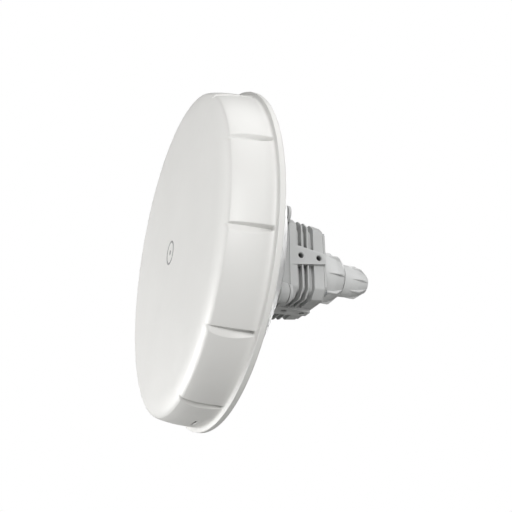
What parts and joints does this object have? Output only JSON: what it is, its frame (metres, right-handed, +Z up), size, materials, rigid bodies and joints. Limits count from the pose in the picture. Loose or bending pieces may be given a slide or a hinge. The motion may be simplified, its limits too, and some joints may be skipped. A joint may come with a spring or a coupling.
{
  "type": "parabolic dish radio antenna with radome",
  "caption": "Round radome over a small parabolic dish, with a finned radio housing and a screwed cable gland on its back.",
  "frame": {"origin": "on the beam axis, midway between the two tapped holes of each bracket pad", "axes": "-Y is the beam direction, +Y runs out through the cable gland, +Z is up"},
  "size_m": [0.203, 0.1309, 0.203],
  "materials": {
    "radome_plastic": "fine satin, injection moulded, UV stable",
    "casting_paint": "powder coat over die-cast aluminium",
    "gland_plastic": "satin moulded nylon",
    "bare_aluminium": "machined",
    "steel": "stainless",
    "rubber": "matt silicone",
    "circuit_board": "solder mask",
    "dark_plastic": "moulded",
    "dielectric": "natural low-loss plastic",
    "thermal_gel": "soft gap filler"
  },
  "bodies": {
    "root": {"radome": "radome_plastic", "rim_gasket": "rubber", "reflector": "casting_paint", "subreflector": "bare_aluminium", "subreflector_support": "dielectric", "feed_horn": "bare_aluminium", "horn_cap": "dielectric", "housing": "casting_paint", "housing_gasket": "rubber", "thermal_pad": "thermal_gel", "rf_board": "circuit_board", "rf_shield": "steel", "main_board": "circuit_board", "ethernet_jack": "steel", "lan_transformer": "dark_plastic", "rear_cover": "casting_paint", "cover_gasket": "rubber", "housing_screw_1": "steel", "housing_screw_2": "steel", "housing_screw_3": "steel", "housing_screw_4": "steel", "cover_screw_1": "steel", "cover_screw_2": "steel", "cover_screw_3": "steel", "cover_screw_4": "steel", "board_spacer_1": "steel", "board_spacer_2": "steel", "board_spacer_3": "steel", "board_spacer_4": "steel", "board_screw_1": "steel", "board_screw_2": "steel", "board_screw_3": "steel", "board_screw_4": "steel"},
    "gland": {"gland_body": "gland_plastic", "port_seal": "rubber"},
    "collar": {"collar": "gland_plastic"},
    "claw": {"clamp_claw": "dark_plastic", "cable_seal": "rubber"},
    "cap": {"cap_nut": "gland_plastic"}
  },
  "joints": [
    {"name": "gland_draw", "type": "slide", "parent": "root", "child": "gland", "axis": [0, 1, 0], "range_m": [0, 0.012]},
    {"name": "collar_turn", "type": "hinge", "parent": "gland", "child": "collar", "pos_m": [0, 0.022, 0], "axis": [0, 1, 0], "range_deg": [0, 1440]},
    {"name": "claw_draw", "type": "slide", "parent": "gland", "child": "claw", "axis": [0, 1, 0], "range_m": [0, 0.0045]},
    {"name": "cap_turn", "type": "hinge", "parent": "claw", "child": "cap", "pos_m": [0, 0.042, 0], "axis": [0, 1, 0], "range_deg": [0, 1080]}
  ],
  "couplings": [
    {"joint": "gland_draw", "follows": "collar_turn", "m_per_rad": 0.000477},
    {"joint": "claw_draw", "follows": "cap_turn", "m_per_rad": 0.000238}
  ]
}
